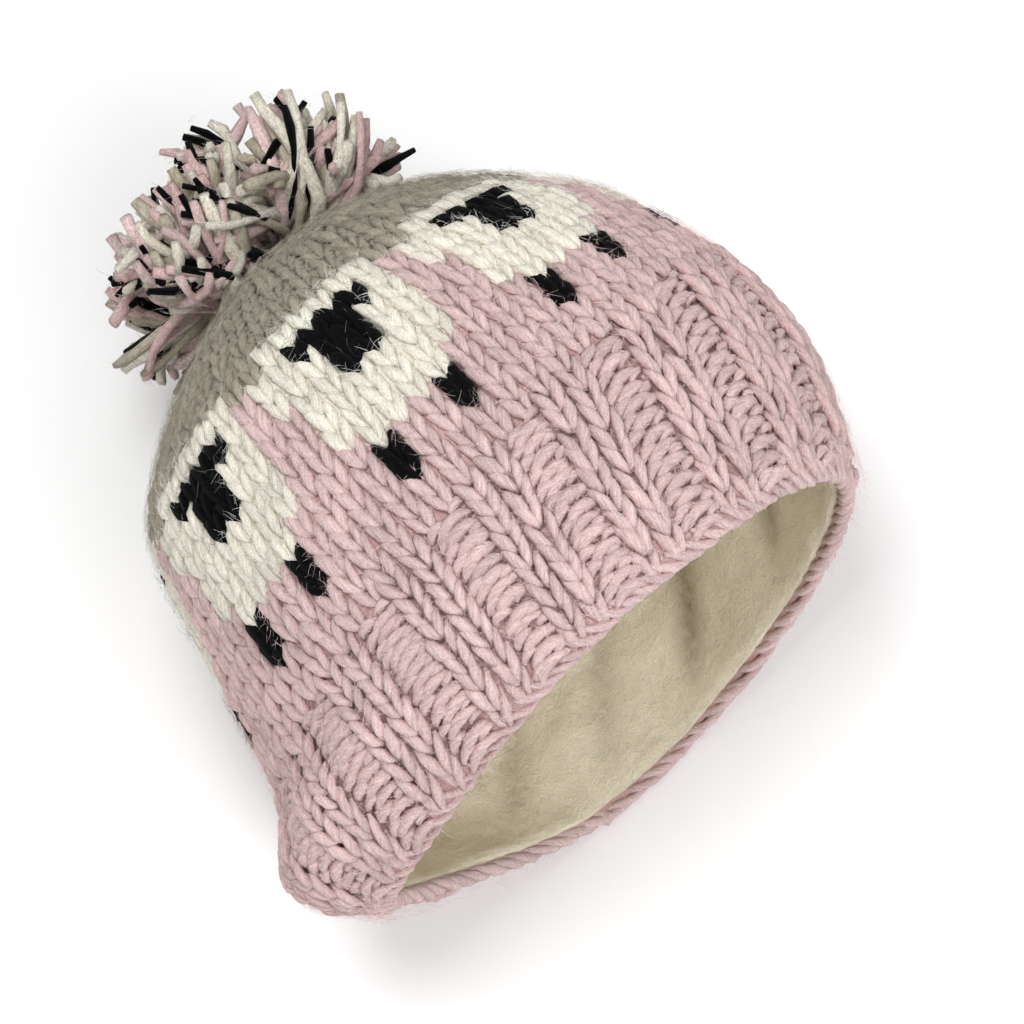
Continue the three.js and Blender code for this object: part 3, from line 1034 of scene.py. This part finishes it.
def pompom_tufts(count, rng):
    """The clumps of the pompom: the way each points, how far it leans, and its share of the full reach."""
    i = np.arange(count)
    along = (1 - (2 * i + 1) / count) * 0.82 + 0.18
    around = i * math.pi * (3 - math.sqrt(5))
    across = np.sqrt(1 - along * along)
    axes = np.stack((across * np.cos(around), along, across * np.sin(around)), axis=1)
    axes = unit(axes + rng.normal(0, 0.1, (count, 3)))
    fall = np.array((0, 1, 0)) - axes * axes[:, 1:2]
    fall = fall * rng.uniform(-0.6, 1.2, (count, 1))
    leans = unit(fall + 0.8 * lay(axes, rng)) * rng.uniform(0.3, 1.1, (count, 1))
    gap = np.arccos(np.clip(axes @ unit(np.array(POMPOM_PARTING)), -1, 1))
    parting = PARTING_DEPTH * np.exp(-((gap / PARTING_SPREAD) ** 2))
    return axes, leans, rng.uniform(0.8, 1.06, count) * (1 - parting)


class MESH_OT_hat_pompom(bpy.types.Operator):
    """Ties the pompom: cut strands in four colours, gathered into clumps and laid against the crown"""

    bl_idname = "mesh.hat_pompom"
    bl_label = "Pompom"

    def execute(self, context):
        shape = context.scene.hat_pompom
        colours = context.scene.hat_colours
        rng = np.random.default_rng(POMPOM_SEED)
        squash = np.array((shape.spread, 1, shape.spread))
        lines, tints = self.cut_strands(shape, squash, colours, rng)
        # The tied middle is painted a dark grey, as painted shade deep inside the pompom
        self.tie_shaded_knot(shape.reach * TIE_SHARE * squash, np.array(colours.grey) * TIE_PAINTED_SHADE)
        self.raise_fuzz(lines, tints, rng)
        return {"FINISHED"}

    def cut_strands(self, shape, squash, colours, rng):
        axes, leans, reach = pompom_tufts(shape.tufts, rng)
        tuft = np.repeat(np.arange(shape.tufts), shape.strands)
        count = len(tuft)
        share = np.linspace(0, 1, POMPOM_STATIONS)
        t = share[None, :, None]
        stray = rng.normal(0, 1, (count, 1, 3))
        curl = lay(axes[tuft], rng)[:, None, :] * rng.standard_t(3, (count, 1, 1)).clip(-4, 4) * 0.1
        way = axes[tuft][:, None, :] + leans[tuft][:, None, :] * t**1.7
        way = unit(way + stray * (0.05 + 0.04 * t) + curl * np.sin(math.pi * 1.5 * t))
        length = shape.reach * reach[tuft] * rng.uniform(0.76, 1.05, count)
        lines = way * squash * (0.2 + 0.8 * t**0.85) * length[:, None, None]
        lines = clear_of_crown(lines + in_frame(POMPOM_CENTRE))

        shares, brightness, thickness = np.array(list(POMPOM_YARNS.values())).T
        kind = rng.choice(len(shares), count, p=shares)
        yarns = np.array([getattr(colours, name) for name in POMPOM_YARNS]) * brightness[:, None]
        tints = varied(yarns[kind], rng, 0.06)
        thick = thickness[kind] * shape.yarn * rng.normal(1, 0.1, count)
        taper = np.interp(share, *STRAND_TAPER)[None, :]
        wide = thick[:, None] * taper * rng.normal(1, 0.12, (count, POMPOM_STATIONS))
        deep = wide * STRAND_FLATNESS
        ups = unit(np.cross(np.gradient(lines, axis=1), rng.normal(0, 1, (count, 1, 3))))
        # The pompom's strands take a weak painted shade on their inner sides
        piece = strand_mesh("pompom_strands", lines, ups, wide, deep, tints, rng, ply=0.16, depth=0.35)
        finish(piece, wool("wool_pompom", streak=0.5), "pompom")
        return lines, tints

    # The pompom's tied middle: a ball painted dark as the shade among the strands
    def tie_shaded_knot(self, radii, tint):
        bpy.ops.object.select_all(action="DESELECT")
        bpy.ops.mesh.primitive_ico_sphere_add(subdivisions=4, radius=1)
        knot = bpy.context.object
        knot.name = "pompom_tie"
        knot.data.name = "pompom_tie"
        ball = corners_of(knot.data) * radii
        ball = ball * (1 + 0.08 * np.sin(ball[:, :1] * 900) * np.sin(ball[:, 2:] * 800))
        move_corners(knot.data, clear_of_crown(ball + in_frame(POMPOM_CENTRE)))
        paint(knot.data, np.tile(tint, (len(ball), 1)))
        bpy.ops.object.shade_smooth()
        finish(knot, wool("wool_pompom_tie"))

    def raise_fuzz(self, lines, tints, rng):
        count = POMPOM_HAIRS
        strand = rng.integers(0, len(lines), count)
        station = rng.integers(3, POMPOM_STATIONS, count)
        roots = lines[strand, station] + rng.normal(0, 1.0, (count, 3)) * MM
        outs = unit(roots - in_frame(POMPOM_CENTRE))
        fuzz = hair_mesh(
            "pompom_fuzz", roots, outs, lay(outs, rng), rng.uniform(1.2, 4, count) * MM,
            rng.uniform(0, 1.6, count) * MM, np.clip(tints[strand] * 1.1 + 0.01, 0, 0.9), rng,
            POMPOM_HAIR_WIDTH * MM,
        )
        finish(fuzz, wool("wool_pompom_fuzz", streak=0.1))


def clear_of_crown(points):
    """Moves points that would be inside the crown out to lie on it."""
    x = points[..., 0] / MM + ORIGIN[0] - CROWN_MIDDLE[0]
    z = points[..., 2] / MM - CROWN_MIDDLE[1]
    lowest = np.interp(np.hypot(x, z), *CROWN_PROFILE) - ORIGIN[1] + CROWN_CLEARANCE
    raised = points.copy()
    raised[..., 1] = np.maximum(points[..., 1], lowest * MM)
    return raised


class MESH_OT_hat_fuzz(bpy.types.Operator):
    """Raises the loose fibres over the knitting, and the felted ones over the crown"""

    bl_idname = "mesh.hat_fuzz"
    bl_label = "Loose Fibres"

    def execute(self, context):
        knit = context.scene.hat_knit
        colours = context.scene.hat_colours
        rng = np.random.default_rng(FUZZ_SEED)
        count = knit.fibres
        row = rng.uniform(0, FUZZ_ROWS, count)
        turn = rng.uniform(0, 1, count)
        stitch = np.floor(turn * STITCHES - FIRST_STITCH).astype(int)
        tints = colour_of(np.floor(row - FIRST_ROW).astype(int), stitch, colours)
        pale = is_yarn(tints, colours.black) & (rng.uniform(0, 1, count) < PALE_SHARE)
        tints = np.where(pale[:, None], PALE_SHADE * np.array(colours.cream), tints * 1.12 + 0.005)
        tints = np.clip(varied(tints, rng, 0.08), 0, 0.92)
        self.raise_fibres("wool_fuzz", row, turn, tints, rng, (1.5, 5), 0.6, 1.0)

        count = knit.crown_fibres
        first, rows = CROWN_FUZZ_ROWS
        row = first + rows * (1 - np.sqrt(rng.uniform(0, 1, count)))
        turn = rng.uniform(0, 1, count)
        tints = np.clip(varied(np.tile(colours.grey, (count, 1)), rng, 0.18), 0.05, 0.55)
        self.raise_fibres("crown_fuzz", row, turn, tints, rng, (2, 5.5), 0.4, 0.7)
        return {"FINISHED"}

    def raise_fibres(self, name, row, turn, tints, rng, lengths, lift, stray):
        """Fibres with a range of lengths and a lift in millimetres, straying from the wales by a share."""
        count = len(row)
        outs = FACE.out(row, turn)
        up = FACE.way_up(row - 0.3, row + 0.3, turn)
        heads = unit(up * rng.choice((-1, 1), (count, 1)) * (1 - stray) + lay(outs, rng) * (0.3 + stray))
        roots = FACE.at(row, turn, rng.uniform(-0.6, 1.4, count) * MM)
        stand = np.abs(rng.normal(0, 1.3, count)) * lift * MM
        hairs = hair_mesh(
            name, roots, outs, heads, rng.uniform(*lengths, count) * MM, stand, tints, rng, FUZZ_WIDTH * MM
        )
        finish(hairs, wool("wool_" + name, streak=0.1))


class SCENE_OT_hat_stage(bpy.types.Operator):
    """Sets the floor, the soft studio light and the camera"""

    bl_idname = "scene.hat_stage"
    bl_label = "Studio"

    def execute(self, context):
        scene = context.scene
        self.lay_floor()
        world = bpy.data.worlds.new("studio")
        world.use_nodes = True
        world.node_tree.nodes["Background"].inputs["Color"].default_value = (1, 1, 1, 1)
        world.node_tree.nodes["Background"].inputs["Strength"].default_value = WORLD_STRENGTH
        scene.world = world
        scene.view_settings.view_transform = "Standard"

        azimuth = math.radians(CAMERA_AZIMUTH)
        elevation = math.radians(CAMERA_ELEVATION)
        target = Vector(in_frame(HAT_MIDDLE))
        level = math.cos(elevation)
        ahead = Vector((-math.sin(azimuth) * level, math.cos(azimuth) * level, -math.sin(elevation)))
        right = Vector((math.cos(azimuth), math.sin(azimuth), 0))
        up = right.cross(ahead)

        lens = bpy.data.cameras.new("camera")
        lens.lens = CAMERA_LENS
        lens.sensor_width = CAMERA_SENSOR
        lens.clip_start = 0.05
        eye = target - ahead * CAMERA_DISTANCE
        scene.camera = self.aim(lens, eye, target + right * CAMERA_SHIFT[0] + up * CAMERA_SHIFT[1])
        for name, (to_right, above, beyond, size, power) in LAMPS.items():
            light = bpy.data.lights.new(name, "AREA")
            light.shape = "DISK"
            light.size = size
            light.energy = power
            self.aim(light, target + right * to_right + up * above + ahead * beyond, target)
        return {"FINISHED"}

    def lay_floor(self):
        bpy.ops.object.select_all(action="DESELECT")
        bpy.ops.mesh.primitive_plane_add(size=FLOOR_SIZE)
        floor = bpy.context.object
        floor.name = "floor"
        paper = bpy.data.materials.new("paper")
        paper.use_nodes = True
        shader = paper.node_tree.nodes["Principled BSDF"]
        shader.inputs["Base Color"].default_value = FLOOR_TONE
        shader.inputs["Roughness"].default_value = FLOOR_ROUGHNESS
        floor.data.materials.append(paper)

    def aim(self, data, place, target):
        """Sets up a lamp or a camera at a place, pointing at a target."""
        obj = link(data.name, data)
        obj.location = place
        obj.rotation_euler = (target - place).to_track_quat("-Z", "Y").to_euler()
        return obj


OPERATORS = (
    MESH_OT_hat_ground,
    MESH_OT_hat_rib,
    MESH_OT_hat_body,
    MESH_OT_hat_crown,
    MESH_OT_hat_edge,
    MESH_OT_hat_lining,
    MESH_OT_hat_pompom,
    MESH_OT_hat_fuzz,
    SCENE_OT_hat_stage,
)


class VIEW3D_PT_bobble_hat(bpy.types.Panel):
    """The hat's sizes and colours, and the steps that make it."""

    bl_label = "Bobble Hat"
    bl_idname = "VIEW3D_PT_bobble_hat"
    bl_space_type = "VIEW_3D"
    bl_region_type = "UI"
    bl_category = "Bobble Hat"

    def draw(self, context):
        layout = self.layout
        for group in (context.scene.hat_knit, context.scene.hat_colours, context.scene.hat_pompom):
            box = layout.box()
            for name in group.bl_rna.properties.keys():
                if name not in {"rna_type", "name"}:
                    box.prop(group, name)
        for operator in OPERATORS:
            layout.operator(operator.bl_idname)


CLASSES = (HatKnit, HatColours, HatPompom, *OPERATORS, VIEW3D_PT_bobble_hat)


def register():
    for cls in CLASSES:
        bpy.utils.register_class(cls)
    bpy.types.Scene.hat_knit = PointerProperty(type=HatKnit)
    bpy.types.Scene.hat_colours = PointerProperty(type=HatColours)
    bpy.types.Scene.hat_pompom = PointerProperty(type=HatPompom)


def unregister():
    del bpy.types.Scene.hat_pompom
    del bpy.types.Scene.hat_colours
    del bpy.types.Scene.hat_knit
    for cls in reversed(CLASSES):
        bpy.utils.unregister_class(cls)


def main():
    register()
    bpy.ops.mesh.hat_ground()
    bpy.ops.mesh.hat_rib()
    bpy.ops.mesh.hat_body()
    bpy.ops.mesh.hat_crown()
    bpy.ops.mesh.hat_edge()
    bpy.ops.mesh.hat_lining()
    bpy.ops.mesh.hat_pompom()
    bpy.ops.mesh.hat_fuzz()
    bpy.ops.scene.hat_stage()


if __name__ == "__main__":
    main()
